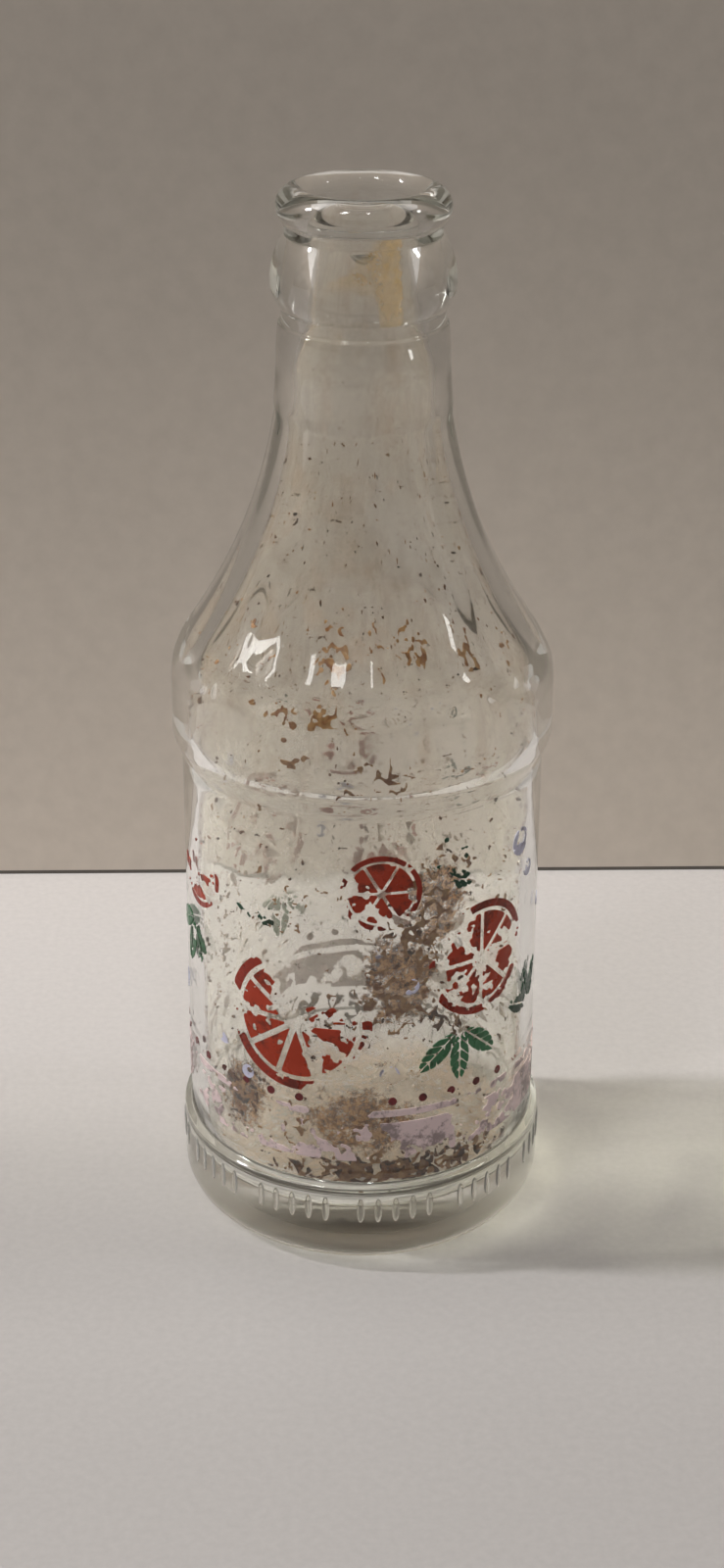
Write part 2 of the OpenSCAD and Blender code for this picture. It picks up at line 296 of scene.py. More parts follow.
class Flutes:
    """Flat flutes cut into the round shoulder."""

    def __init__(self, s, outline):
        self.s = s
        self.half = math.pi / s.flute_n
        z = np.array([p[1] for p in outline])
        r = np.array([p[0] for p in outline])
        rising = z > s.belt_top
        low_r, high_r = (np.interp(h, z[rising], r[rising]) * math.cos(self.half)
                         for h in (s.flute_low, s.flute_high))
        a, b = Vector((low_r, s.flute_low)), Vector((high_r, s.flute_high))
        lean = math.atan2(b.y - a.y, b.x - a.x)
        turn = math.asin((b - a).length / 2 / s.flute_sweep)
        out = lean - math.pi / 2 + turn
        self.centre = (a.x + s.flute_sweep * math.cos(out), a.y + s.flute_sweep * math.sin(out))
        self.top = b

    def flat_distance(self, z):
        """Distance of the flats from the axis at height z, or a large one where there are none."""
        s = self.s
        sweep = self.centre[0] - np.sqrt(np.clip(s.flute_sweep ** 2 - (z - self.centre[1]) ** 2, 0, None))
        above = np.clip((z - self.top.y) / s.scoop_r, 0, 1)
        scoop = self.top.x + s.scoop_r * (1 - np.sqrt(1 - above ** 2))
        flat = np.where(z > self.top.y, scoop, sweep)
        outside = (z < s.flute_low - 6 * MM) | (z > s.flute_high + 0.9 * s.scoop_r)
        return np.where(outside, 1.0, flat)

    def radius(self, theta, r, z):
        """Radius of the fluted surface at an angle, where the round outline has radius r."""
        step = 2 * self.half
        off = np.abs((theta - self.s.flute_turn) % step - self.half)
        flat = self.flat_distance(z)
        ridge = smooth_least(flat / np.cos(off), flat / np.cos(step - off), 0.5 * MM)
        return smooth_least(r, ridge, 0.35 * MM)


def on_wall(theta, r, z):
    """Place at an angle from the front, a radius and a height."""
    return np.stack([r * np.sin(theta), -r * np.cos(theta), z + 0 * theta], axis=-1)


# Meshes

def add_piece(name, vertices, faces, material, smooth=True):
    """A mesh object at the origin that rides on the bottle's only body."""
    mesh = bpy.data.meshes.new(name)
    mesh.from_pydata([tuple(v) for v in vertices], [], [tuple(f) for f in faces])
    mesh.validate()
    mesh.update()
    if smooth:
        mesh.shade_smooth()
    mesh.materials.append(material)
    obj = bpy.data.objects.new(name, mesh)
    bpy.context.scene.collection.objects.link(obj)
    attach(obj, BODY)
    return obj


def revolve(rows, columns, first_angle, shape):
    """Vertices and faces of rows turned round the axis, closed at both ends on the axis."""
    theta = first_angle + TAU * np.arange(columns) / columns
    inner = rows[1:-1]
    grid = np.stack([shape(theta, r, z, k) for k, (r, z) in enumerate(inner)])
    vertices = [(0, 0, rows[0][1])] + grid.reshape(-1, 3).tolist() + [(0, 0, rows[-1][1])]
    last = len(vertices) - 1
    k, j = np.meshgrid(np.arange(len(inner) - 1), np.arange(columns), indexing="ij")
    a = 1 + k * columns + j
    b = 1 + k * columns + (j + 1) % columns
    faces = np.stack([a, b, b + columns, a + columns], axis=-1).reshape(-1, 4).tolist()
    faces += [[0, 1 + (j + 1) % columns, 1 + j] for j in range(columns)]
    foot = 1 + (len(inner) - 1) * columns
    faces += [[last, foot + j, foot + (j + 1) % columns] for j in range(columns)]
    return vertices, faces


# Patterns on the wall, as numpy fields over angle and height

def lattice_noise(x, y, z, seed):
    """Smooth noise from 0 to 1 at places given in cell units."""
    table = np.random.default_rng(seed).random(4096)
    xi, yi, zi = (np.floor(v).astype(np.int64) for v in (x, y, z))
    fx, fy, fz = (v - i for v, i in ((x, xi), (y, yi), (z, zi)))
    fx, fy, fz = (f * f * (3 - 2 * f) for f in (fx, fy, fz))
    total = 0
    for dx in (0, 1):
        for dy in (0, 1):
            for dz in (0, 1):
                key = ((xi + dx) * 73856093) ^ ((yi + dy) * 19349663) ^ ((zi + dz) * 83492791)
                weight = (fx if dx else 1 - fx) * (fy if dy else 1 - fy) * (fz if dz else 1 - fz)
                total = total + weight * table[key & 4095]
    return total


def wall_noise(theta, z, radius, cell, seed, octaves=4):
    """Fractal noise, near 0.5 on average, that closes on itself round the wall."""
    p = on_wall(theta, radius, z) / cell
    value, weight, total = 0, 1, 0
    for k in range(octaves):
        q = p * 2 ** k + 17.3 * k
        value = value + weight * lattice_noise(q[..., 0], q[..., 1], q[..., 2], seed + k)
        total += weight
        weight *= 0.55
    return value / total


def blob(theta, z, radius, place):
    """1 at the middle of a patch and 0 from its edge out. place is angle, height, width, height."""
    angle, height, wide, high = place
    across = (np.radians(angle) - theta + math.pi) % TAU - math.pi
    d = np.hypot(across * radius / (wide * MM), (z - height * MM) / (high * MM))
    return np.clip(1 - d, 0, 1)


def contour_sheet(field, thetas, heights):
    """Places (angle, height) and faces of the part of a grid where field is above 0, by marching
    squares. The grid goes all the way round the axis, and its last column meets its first."""
    columns = field.shape[1]
    step = thetas[1] - thetas[0]
    places, index, faces = [], {}, []

    def corner(i, j):
        key = (i, j % columns)
        if key not in index:
            index[key] = len(places)
            places.append((thetas[0] + step * j, heights[i]))
        return index[key]

    def crossing(a, b):
        (i0, j0), (i1, j1) = min(a, b), max(a, b)
        shift = columns if min(j0, j1) == columns else 0
        key = (i0, j0 - shift, i1, j1 - shift)
        if key not in index:
            f0, f1 = field[i0, j0 % columns], field[i1, j1 % columns]
            t = min(max(f0 / (f0 - f1), 0.02), 0.98)
            index[key] = len(places)
            places.append((thetas[0] + step * (j0 + (j1 - j0) * t),
                           heights[i0] + (heights[i1] - heights[i0]) * t))
        return index[key]

    above = field > 0
    right = np.roll(above, -1, axis=1)
    touched = above[:-1] | right[:-1] | above[1:] | right[1:]
    for i, j in zip(*np.nonzero(touched)):
        ring = ((i, j), (i, j + 1), (i + 1, j + 1), (i + 1, j))
        inside = [bool(above[a, b % columns]) for a, b in ring]
        if sum(inside) == 2 and inside[0] == inside[2]:
            for k in (0, 1, 2, 3):
                if inside[k]:
                    before, after = ring[k - 1], ring[(k + 1) % 4]
                    faces.append([corner(*ring[k]), crossing(ring[k], after), crossing(before, ring[k])])
            continue
        face = []
        for k in range(4):
            if inside[k]:
                face.append(corner(*ring[k]))
            if inside[k] != inside[(k + 1) % 4]:
                face.append(crossing(ring[k], ring[(k + 1) % 4]))
        faces.append(face)
    return places, faces


def patch_piece(name, field, thetas, heights, radius, back, front, material, lump=None):
    """A thin closed piece that follows the wall where field is above 0. back and front are the
    radii of its two sides, and lump adds to the front by place."""
    places, faces = contour_sheet(field, thetas, heights)
    if not faces:
        raise RuntimeError(name + " came out empty")
    theta, z = np.array(places).T
    rise = lump(theta, z) if lump is not None else 0
    back_r = radius(z) + back
    front_r = radius(z) + front + rise
    n = len(places)
    vertices = np.concatenate([on_wall(theta, front_r, z), on_wall(theta, back_r, z)])
    edges = {}
    for f in faces:
        for a, b in zip(f, f[1:] + f[:1]):
            edges[(a, b)] = edges.get((a, b), 0) + 1
    rim = [(a, b) for (a, b) in edges if (b, a) not in edges]
    outward = front > back
    shell = [f if outward else f[::-1] for f in faces]
    shell += [[v + n for v in (f[::-1] if outward else f)] for f in faces]
    shell += [[b, a, a + n, b + n] if outward else [a, b, b + n, a + n] for a, b in rim]
    obj = add_piece(name, vertices, shell, material)
    obj.data.set_sharp_from_angle(angle=math.radians(40))
    return obj


# Motifs of the print, as fields that are above 0 inside, in metres

REPEATS = 2
BIG_SLICE, MID_SLICE, SMALL_SLICE = 12.5 * MM, 10 * MM, 6.5 * MM
LEAF_LENGTH, LEAF_WIDTH = 9 * MM, 3.6 * MM
BUBBLE = 2.4 * MM
BAND_LOW, BAND_WIDE, STRIPE_WIDE = 21 * MM, 7 * MM, 1.2 * MM
PIP_COUNT = 36
SLICES = ((-21, 46, BIG_SLICE, 10), (41, 55, MID_SLICE, 8), (6, 70, SMALL_SLICE, 6),
          (-64, 66, SMALL_SLICE, 6))
GREEN_FANS = ((33, 43.5, 180), (-68, 56, 160))
DARK_FANS = ((22.5, 72, -60), (70, 40, 20), (-35, 62, -10))
BUBBLES = ((8, 58.5, 1), (15.5, 53, 0.6), (60, 72, 1), (66, 66, 0.6), (-50, 39, 0.8), (-39, 34, 0.5),
           (9, 37, 0.7), (-18, 72, 0.7), (84, 56, 0.9), (-84, 40, 0.9))


def offsets(theta, z, angle, height, radius, repeats=REPEATS):
    """Distances across and up from the nearest copy of a place on the panel."""
    turn = TAU / repeats
    across = (theta - math.radians(angle) + turn / 2) % turn - turn / 2
    return radius * across, z - height * MM


def turned(x, y, angle):
    """The same offsets in axes turned by an angle in degrees."""
    c, s = math.cos(math.radians(angle)), math.sin(math.radians(angle))
    return x * c + y * s, y * c - x * s


def slice_flesh(x, y, r, segments):
    """Segments of a citrus slice."""
    d = np.hypot(x, y)
    field = np.minimum(0.8 * r - d, d - 0.1 * r)
    for k in range(segments // 2):
        bar = turned(x, y, 360 * k / segments)[1]
        field = np.minimum(field, np.abs(bar) - 0.04 * r)
    return field


def slice_rind(x, y, r):
    """Rind of a citrus slice."""
    d = np.hypot(x, y)
    return np.minimum(r - d, d - 0.87 * r)


def leaf(x, y, long, wide):
    """Pointed leaf along +y with a bare midrib and veins."""
    r = (long * long + wide * wide) / (4 * wide)
    shape = r - np.hypot(np.abs(x) + r - wide / 2, y - long / 2)
    midrib = np.abs(x) - 0.16 * MM
    pitch = long / 5
    veins = np.abs((y - 1.1 * np.abs(x)) % pitch - pitch / 2) - 0.13 * MM
    return np.minimum(shape, np.minimum(midrib, veins))


def leaf_fan(x, y, turn, long, wide):
    """Three leaves that fan out from one foot."""
    field = np.full(x.shape, -1.0)
    for spread in (-48, 0, 48):
        lx, ly = turned(x, y, turn + spread)
        field = np.maximum(field, leaf(lx, ly - 0.12 * long, long, wide))
    return field


def print_fields(theta, z, radius):
    """Each colour's whole, unworn artwork."""
    nothing = np.full(theta.shape, -1.0)
    fields = {name: nothing for name in ("red_slices", "red_rinds", "green_leaves", "dark_leaves",
                                         "lilac_bubbles")}
    for angle, height, r, segments in SLICES:
        x, y = offsets(theta, z, angle, height, radius)
        fields["red_slices"] = np.maximum(fields["red_slices"], slice_flesh(x, y, r, segments))
        fields["red_rinds"] = np.maximum(fields["red_rinds"], slice_rind(x, y, r))
    for name, fans, size in (("green_leaves", GREEN_FANS, (1, 1)), ("dark_leaves", DARK_FANS, (0.8, 0.9))):
        for angle, height, turn in fans:
            x, y = offsets(theta, z, angle, height, radius)
            fan = leaf_fan(x, y, turn, LEAF_LENGTH * size[0], LEAF_WIDTH * size[1])
            fields[name] = np.maximum(fields[name], fan)
    for angle, height, size in BUBBLES:
        x, y = offsets(theta, z, angle, height, radius)
        r = BUBBLE * size
        ring = np.minimum(r - np.hypot(x, y), np.hypot(x - 0.25 * r, y - 0.25 * r) - 0.45 * r)
        fields["lilac_bubbles"] = np.maximum(fields["lilac_bubbles"], ring)
    stripe = BAND_LOW + BAND_WIDE + 1.5 * STRIPE_WIDE
    fields["lilac_band"] = np.maximum(BAND_WIDE / 2 - np.abs(z - BAND_LOW - BAND_WIDE / 2),
                                      STRIPE_WIDE / 2 - np.abs(z - stripe))
    pip_height = (BAND_LOW + BAND_WIDE + 3.4 * STRIPE_WIDE) / MM
    x, y = offsets(theta, z, 0, pip_height, radius, PIP_COUNT)
    fields["maroon_pips"] = 0.6 * STRIPE_WIDE - np.hypot(x, y)
    return fields


# Patches of heavy wear, as angle, height, width, height and strength: above 0 more is gone
WEAR_PATCHES = ((-18, 58, 16, 14, 0.16), (2, 48, 7, 9, 0.10), (-50, 46, 10, 8, 0.08), (-8, 26, 18, 6, 0.12),
                (-30, 34, 7, 5, -0.10), (36, 40, 16, 12, -0.14), (56, 62, 10, 12, -0.06),
                (30, 25, 22, 6, -0.10), (-70, 58, 12, 14, -0.08), (120, 50, 26, 22, 0.06),
                (22, 73, 9, 7, -0.16), (-35, 63, 8, 6, -0.14), (6, 70, 8, 8, -0.08), (70, 42, 8, 8, -0.10))


def wear_field(theta, z, radius, settings):
    """Above 0 where the enamel has stayed on, in metres."""
    coarse = wall_noise(theta, z, radius, 9 * MM, settings.seed)
    middle = wall_noise(theta, z, radius, 2.6 * MM, settings.seed + 40)
    fine = wall_noise(theta, z, radius, 1.0 * MM, settings.seed + 80, 2)
    kept = 0.52 * coarse + 0.33 * middle + 0.15 * fine - 0.5 - (settings.wear - 0.5) * 0.4
    for patch in WEAR_PATCHES:
        kept = kept - patch[4] * blob(theta, z, radius, patch[:4])
    return kept * 22 * MM


# Crust inside, as angle, height, width, height and strength
CRUST_PATCHES = ((-12, 107, 5, 7, 0.30), (6, 106, 4, 6, 0.26), (20, 108, 5, 6, 0.28), (40, 106, 4, 8, 0.26),
                 (-24, 99, 11, 3, 0.26), (-6, 99, 8, 3, 0.22), (-20, 91, 8, 4, 0.22), (9, 90, 7, 5, 0.26),
                 (-8, 86, 6, 4, 0.26), (28, 70, 9, 9, 0.26), (19, 64, 9, 12, 0.34), (13, 54, 8, 12, 0.30),
                 (5, 48, 10, 9, 0.20), (30, 46, 10, 7, 0.20), (-12, 43, 6, 4, 0.18), (-46, 28, 7, 8, 0.34),
                 (-18, 24, 9, 4, 0.20), (8, 26, 10, 5, 0.20), (10, 18, 28, 5.5, 0.46), (-21, 66, 10, 8, 0.10),
                 (60, 66, 8, 10, 0.16), (-9, 128, 4, 5, 0.10), (62, 98, 5, 10, 0.18),
                 (-150, 90, 20, 14, 0.10), (160, 60, 22, 18, 0.14), (-120, 40, 18, 16, 0.16),
                 (100, 30, 18, 10, 0.20), (180, 19, 60, 5, 0.30))
DARK_PATCHES = ((10, 17.5, 26, 4.5, 0.62), (16, 60, 6, 10, 0.20), (28, 45, 9, 5, 0.26), (2, 44, 7, 4, 0.20),
                (-45, 28, 6, 8, 0.42), (-12, 43, 4, 2.5, 0.26), (8, 56, 5, 5, 0.16), (180, 18, 60, 4, 0.36))


def crust_field(theta, z, radius, patches, seed, bare):
    """Above 0 where dried drink sticks to the wall, in metres."""
    grains = wall_noise(theta, z, radius, 1.1 * MM, seed, 2)
    ridge = np.abs(wall_noise(theta, z, radius, 2.6 * MM, seed + 60, 3) - 0.5)
    threads = np.clip(1 - 14 * ridge, -0.6, 1)
    value = 0.55 * grains + 0.30 * threads - bare
    for patch in patches:
        value = value + patch[4] * blob(theta, z, radius, patch[:4])
    return value * 2 * MM


# Materials

def material(name):
    """A new node material, with its tree, its output and its main shader."""
    made = bpy.data.materials.new(name)
    made.use_nodes = True
    tree = made.node_tree
    tree.nodes.clear()
    out = tree.nodes.new("ShaderNodeOutputMaterial")
    main = tree.nodes.new("ShaderNodeBsdfPrincipled")
    tree.links.new(main.outputs[0], out.inputs["Surface"])
    return made, tree, out, main


def node(tree, kind, values=None, **settings):
    """A node with its settings, and its inputs set to values or joined to other nodes' outputs."""
    made = tree.nodes.new(kind)
    for key, value in settings.items():
        setattr(made, key, value)
    for key, value in (values or {}).items():
        if isinstance(value, bpy.types.NodeSocket):
            tree.links.new(value, made.inputs[key])
        else:
            made.inputs[key].default_value = value
    return made


def maths(tree, operation, *values, clamp=False):
    """The output of a Math node."""
    made = node(tree, "ShaderNodeMath", dict(enumerate(values)), operation=operation, use_clamp=clamp)
    return made.outputs[0]


def noise(tree, place, scale, detail=4, rough=0.55, seed=0):
    """The value of a Noise node at a scale given in repeats to the metre."""
    shift = node(tree, "ShaderNodeVectorMath", {0: place, 1: (0.13 * seed, 0.07 * seed, 0.19 * seed)})
    values = {"Vector": shift.outputs[0], "Scale": scale, "Detail": detail, "Roughness": rough}
    return node(tree, "ShaderNodeTexNoise", values).outputs["Fac"]


def between(tree, value, low, high, to_low=0.0, to_high=1.0, smooth=True):
    """A value mapped from one range to another, clamped."""
    values = {"Value": value, "From Min": low, "From Max": high, "To Min": to_low, "To Max": to_high}
    kind = "SMOOTHSTEP" if smooth else "LINEAR"
    return node(tree, "ShaderNodeMapRange", values, interpolation_type=kind).outputs["Result"]


def blend_colour(tree, share, first, second):
    """The colour output of a mix of two colours."""
    mix = node(tree, "ShaderNodeMix", data_type="RGBA")
    for socket, value in ((mix.inputs[0], share), (mix.inputs[6], first), (mix.inputs[7], second)):
        if isinstance(value, bpy.types.NodeSocket):
            tree.links.new(value, socket)
        elif isinstance(value, float):
            socket.default_value = value
        else:
            socket.default_value = (*value, 1)
    return mix.outputs[2]


def place_of(tree):
    """The Object coordinates."""
    return node(tree, "ShaderNodeTexCoord").outputs["Object"]


def bump(tree, height, distance, strength=1.0):
    """A bump normal from a height."""
    values = {"Height": height, "Distance": distance, "Strength": strength}
    return node(tree, "ShaderNodeBump", values).outputs["Normal"]


def clear_shadows(tree, out, shader, tint, most_turns=99, thick=0.0):
    """Joins a shader to the output, but lets lamps through with a little loss, and more where it is
    thick, and also light that has been thrown back this many times within the wall."""
    path = node(tree, "ShaderNodeLightPath").outputs
    trapped = maths(tree, "GREATER_THAN", path["Glossy Depth"], most_turns - 0.5)
    loss = maths(tree, "MULTIPLY_ADD", trapped, -0.2, maths(tree, "MULTIPLY_ADD", thick, -0.22, 1.0))
    left = node(tree, "ShaderNodeVectorMath", {0: tint, "Scale": loss}, operation="SCALE")
    through = node(tree, "ShaderNodeBsdfTransparent", {"Color": left.outputs[0]})
    clear = maths(tree, "MAXIMUM", path["Is Shadow Ray"], trapped)
    mix = node(tree, "ShaderNodeMixShader", {0: clear, 1: shader, 2: through.outputs[0]})
    tree.links.new(mix.outputs[0], out.inputs["Surface"])


def glass_material(s):
    """Clear bottle glass that takes on its tint where it is thick, and lets lamps through."""
    made, tree, out, main = material("Clear bottle glass")
    place = place_of(tree)
    main.inputs["Base Color"].default_value = (0.995, 0.995, 0.98, 1)
    main.inputs["Transmission Weight"].default_value = 1
    main.inputs["IOR"].default_value = s.ior
    smudge = between(tree, noise(tree, place, 70, 5, seed=2), 0.5, 0.75, s.roughness, s.roughness + 0.09)
    height = node(tree, "ShaderNodeSeparateXYZ", {"Vector": place}).outputs["Z"]
    scuffed = between(tree, height, 0.3 * MM, 2.8 * MM, s.scuff, 0.0)
    tree.links.new(maths(tree, "MAXIMUM", smudge, scuffed), main.inputs["Roughness"])
    waves = noise(tree, place, 60, 2, seed=4)
    tree.links.new(bump(tree, waves, 0.35 * MM, 0.35), main.inputs["Normal"])
    absorb = node(tree, "ShaderNodeVolumeAbsorption")
    absorb.inputs["Color"].default_value = (*s.tint, 1)
    absorb.inputs["Density"].default_value = s.tint_density
    tree.links.new(absorb.outputs[0], out.inputs["Volume"])
    heavy = between(tree, height, 14 * MM, 24 * MM, 1.0, 0.0)
    clear_shadows(tree, out, main.outputs[0], (0.86, 0.87, 0.84), 3, heavy)
    return made


def enamel_material(name, base, seed):
    """Fired enamel: glossy, a little uneven in colour, rubbed and soiled in places."""
    made, tree, out, main = material(name)
    place = place_of(tree)
    cloud = noise(tree, place, 180, 5, seed=seed)
    rubbed = between(tree, cloud, 0.45, 0.72)
    paler = tuple(c * 1.15 + 0.006 for c in base)
    darker = tuple(c * 0.30 + d for c, d in zip(base, (0.012, 0.007, 0.004)))
    tone = blend_colour(tree, rubbed, base, paler)
    soil = between(tree, noise(tree, place, 200, 7, 0.78, seed + 7), 0.49, 0.60)
    tone = blend_colour(tree, maths(tree, "MULTIPLY", soil, 0.85), tone, darker)
    tree.links.new(tone, main.inputs["Base Color"])
    rough = between(tree, noise(tree, place, 260, 4, seed=seed + 3), 0.35, 0.70, 0.22, 0.50)
    tree.links.new(rough, main.inputs["Roughness"])
    main.inputs["Specular IOR Level"].default_value = 0.32
    grain = noise(tree, place, 900, 3, seed=seed + 5)
    tree.links.new(bump(tree, grain, 0.02 * MM, 0.5), main.inputs["Normal"])
    return made


def crust_material(name, base, second, seed):
    """Dried drink in crumbs and flakes, dull and uneven."""
    made, tree, out, main = material(name)
    place = place_of(tree)
    share = between(tree, noise(tree, place, 700, 5, 0.6, seed), 0.38, 0.62)
    tree.links.new(blend_colour(tree, share, base, second), main.inputs["Base Color"])
    rough = between(tree, noise(tree, place, 500, 3, seed=seed + 2), 0.3, 0.7, 0.55, 0.95)
    tree.links.new(rough, main.inputs["Roughness"])
    main.inputs["Specular IOR Level"].default_value = 0.2
    tree.links.new(bump(tree, noise(tree, place, 1500, 4, seed=seed + 4), 0.15 * MM), main.inputs["Normal"])
    return made


# Soft brown soiling in the film, as angle, height, half width and half height
SOILED = ((26, 66, 15, 11), (13, 53, 18, 12), (0, 27, 28, 8), (-44, 28, 14, 9))


def haze_material(s):
    """Thin dried film on the inside wall: cloudy, thicker on the floor, with an ochre run in the neck."""
    made, tree, out, main = material("Dried haze")
    place = place_of(tree)
    axis = node(tree, "ShaderNodeSeparateXYZ", {"Vector": place})
    height = axis.outputs["Z"]
    angle = maths(tree, "ARCTAN2", axis.outputs["X"], maths(tree, "MULTIPLY", axis.outputs["Y"], -1.0))
    on_floor = between(tree, height, 10.5 * MM, 15 * MM, 1.0, 0.0)
    in_panel = between(tree, height, 70 * MM, 92 * MM, 1.0, 0.0)
    cloud = between(tree, noise(tree, place, 70, 5, 0.62, 1), 0.38, 0.68)
    grain = noise(tree, place, 420, 5, 0.72, 3)
    fine = between(tree, grain, 0.42, 0.75)
    speck = between(tree, grain, 0.64, 0.70)
    mottle = maths(tree, "MULTIPLY_ADD", fine, 0.5, 0.5)
    deep = maths(tree, "MULTIPLY_ADD", in_panel, 0.22, 0.13)
    film = maths(tree, "MULTIPLY", maths(tree, "MULTIPLY", cloud, mottle), deep)
    film = maths(tree, "ADD", film, maths(tree, "MULTIPLY_ADD", in_panel, 0.10, 0.06))
    drawn = node(tree, "ShaderNodeVectorMath", {0: place, 1: (1.0, 1.0, 0.35)}, operation="MULTIPLY")
    streak = between(tree, noise(tree, drawn.outputs[0], 190, 5, 0.7, 12), 0.48, 0.66)
    streak = maths(tree, "MULTIPLY", streak, maths(tree, "SUBTRACT", 1.0, in_panel))
    film = maths(tree, "MULTIPLY_ADD", streak, 0.16, film)
    settled = maths(tree, "MULTIPLY", maths(tree, "MULTIPLY", on_floor, mottle), 0.85)
    film = maths(tree, "MAXIMUM", film, settled)
    film = maths(tree, "MULTIPLY", film, s.amount * 2)

    soiled = maths(tree, "MULTIPLY", in_panel, 0.20)
    for turn, up, wide, high in SOILED:
        across = maths(tree, "MULTIPLY_ADD", angle, 1 / math.radians(wide), -turn / wide)
        along = maths(tree, "MULTIPLY_ADD", height, 1 / (high * MM), -up / high)
        reach = maths(tree, "SQRT", maths(tree, "ADD", maths(tree, "MULTIPLY", across, across),
                                          maths(tree, "MULTIPLY", along, along)))
        soiled = maths(tree, "MAXIMUM", soiled, between(tree, reach, 0.35, 1.15, 1.0, 0.0))
    patchy = noise(tree, place, 420, 8, 0.85, 21)
    soiled = maths(tree, "MULTIPLY_ADD", soiled, 0.24, patchy)
    soiled = between(tree, soiled, 0.60, 0.74, 0.0, 0.85)

    ragged = maths(tree, "MULTIPLY_ADD", noise(tree, place, 700, 5, 0.75, 9), 0.5, -0.25)
    spread = maths(tree, "POWER", between(tree, height, 159 * MM, 167 * MM, 1.0, 0.0, smooth=False), 1.9)
    left = maths(tree, "MULTIPLY_ADD", spread, math.radians(-60), math.radians(9))
    inside = maths(tree, "ADD", maths(tree, "SUBTRACT", angle, left), ragged)
    run = between(tree, inside, math.radians(-4), math.radians(9))
    run = maths(tree, "MULTIPLY", run, between(tree, maths(tree, "ADD", angle, ragged), 0.64, 0.78, 1.0, 0.0))
    foot = between(tree, angle, math.radians(8), math.radians(20), 159 * MM, 155 * MM)
    above_foot = maths(tree, "MULTIPLY_ADD", ragged, 6 * MM, maths(tree, "SUBTRACT", height, foot))
    run = maths(tree, "MULTIPLY", run, between(tree, above_foot, -1.0 * MM, 2.0 * MM))
    run = maths(tree, "MULTIPLY", run, between(tree, height, 169 * MM, 171 * MM, 1.0, 0.0))
    dense = between(tree, angle, math.radians(-30), math.radians(24), 0.5, 1.0)
    stain = maths(tree, "MULTIPLY", maths(tree, "MULTIPLY", run, dense), mottle)

    tone = blend_colour(tree, in_panel, s.haze, s.cream)
    tone = blend_colour(tree, maths(tree, "MULTIPLY", streak, 0.7), tone, s.tan)
    tone = blend_colour(tree, maths(tree, "MULTIPLY", on_floor, 0.75), tone, s.tan)
    grit = noise(tree, place, 900, 6, 0.8, 33)
    dirt = blend_colour(tree, between(tree, grit, 0.42, 0.56), s.tan, s.brown)
    dirt = blend_colour(tree, between(tree, maths(tree, "ADD", grit, patchy), 1.07, 1.20), dirt, s.dark)
    tone = blend_colour(tree, between(tree, soiled, 0.0, 0.4), tone, dirt)
    tone = blend_colour(tree, between(tree, stain, 0.03, 0.2), tone, s.ochre)
    tone = blend_colour(tree, speck, tone, s.brown)
    alpha = maths(tree, "MAXIMUM", maths(tree, "MAXIMUM", film, soiled), stain)
    speck = maths(tree, "MULTIPLY", maths(tree, "MULTIPLY", speck, cloud), 0.6)
    alpha = maths(tree, "MAXIMUM", alpha, speck, clamp=True)
    tree.links.new(tone, main.inputs["Base Color"])
    main.inputs["Roughness"].default_value = 0.8
    glow = node(tree, "ShaderNodeBsdfTranslucent", {"Color": tone})
    dull = node(tree, "ShaderNodeMixShader", {0: 0.45, 1: main.outputs[0], 2: glow.outputs[0]})
    bare = node(tree, "ShaderNodeBsdfTransparent")
    film_mix = node(tree, "ShaderNodeMixShader", {0: alpha, 1: bare.outputs[0], 2: dull.outputs[0]})
    clear_shadows(tree, out, film_mix.outputs[0], (0.87, 0.86, 0.82))
    return made


def bare_material():
    """The film's inner side, which shows nothing of its own."""
    made, tree, out, main = material("Film inner side")
    tree.nodes.remove(main)
    bare = node(tree, "ShaderNodeBsdfTransparent")
    tree.links.new(bare.outputs[0], out.inputs["Surface"])
    return made


# Operators, one for each piece or group of like pieces

class BOTTLE_OT_glass(bpy.types.Operator):
    """Blow the glass: crown finish, fluted shoulder, belt, label panel and heel"""
    bl_idname = "bottle.glass"
    bl_label = "Glass body"

    def execute(self, context):
        s = context.scene.bottle_shape
        outside = subdivide(soften(outside_outline(s), s.soft_edge), 2.2 * MM)
        inside = subdivide(soften(inside_outline(s), s.soft_edge), 2.6 * MM)
        flutes = Flutes(s, outside)
        rows = outside + inside[1:]
        crest = len(outside) - 1

        def shape(theta, r, z, k):
            if k < crest:
                return on_wall(theta, flutes.radius(theta, r, z), z)
            wave = np.sin(3 * theta + z / (9 * MM)) + np.sin(5 * theta - z / (6 * MM) + 1)
            fade = min(1, max(0, (r - s.bore_r) / (4 * MM)))
            return on_wall(theta, r + 0.5 * s.ripple * fade * wave, z)

        vertices, faces = revolve(rows, 18 * s.flute_n, s.flute_turn, shape)
        body = add_piece("glass_body", vertices, faces, glass_material(context.scene.bottle_glass))
        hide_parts("bottle_glass")
        return {"FINISHED"}


